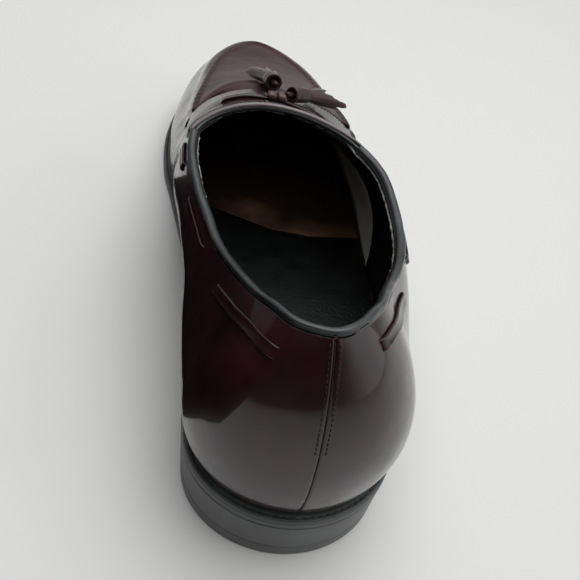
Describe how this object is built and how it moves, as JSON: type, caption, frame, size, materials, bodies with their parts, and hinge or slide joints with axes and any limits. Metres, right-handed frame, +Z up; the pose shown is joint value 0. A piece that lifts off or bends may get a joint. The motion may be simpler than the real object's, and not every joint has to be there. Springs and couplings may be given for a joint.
{
  "type": "loafer shoe",
  "caption": "Low slip-on dress shoe with a stacked heel, raised-seam apron, saddle with rolled edge, lace threaded round the collar and small tassels",
  "frame": {"origin": "centre of the heel's flat bottom face, on the floor", "axes": "+Y points from the heel to the toe, +X to the shoe's outer side, +Z up from the floor; the shoe stands on its heel and the ball of its sole"},
  "size_m": [0.103, 0.3024, 0.0929],
  "materials": {
    "heel_rubber": "satin charcoal rubber, trimmed edge",
    "sole_rubber": "satin charcoal rubber with a bevelled edge and a stitched ledge",
    "insole_leather": "matt tan leather, darker towards the toe",
    "sock_leather": "black pebbled leather",
    "upper_leather": "highly polished burgundy leather",
    "apron_leather": "polished burgundy leather",
    "saddle_leather": "highly polished burgundy leather",
    "binding_leather": "rolled black leather with a grey sheen",
    "lace_leather": "dark burgundy leather lace",
    "knot_leather": "worn brown leather lace",
    "tassel_leather": "satin burgundy leather strips"
  },
  "bodies": {
    "root": {"heel_block": "heel_rubber", "outsole": "sole_rubber", "insole": "insole_leather", "heel_sock": "sock_leather", "upper": "upper_leather", "apron": "apron_leather", "saddle": "saddle_leather", "collar_binding": "binding_leather", "lace_run_inner_back": "lace_leather", "lace_run_inner_middle": "lace_leather", "lace_run_inner_front": "lace_leather", "lace_run_outer_back": "lace_leather", "lace_run_outer_middle": "lace_leather", "lace_run_outer_front": "lace_leather", "lace_end_inner": "lace_leather", "lace_end_outer": "lace_leather", "lace_knot": "knot_leather", "tassel_inner": "tassel_leather", "tassel_outer": "tassel_leather"}
  },
  "joints": []
}
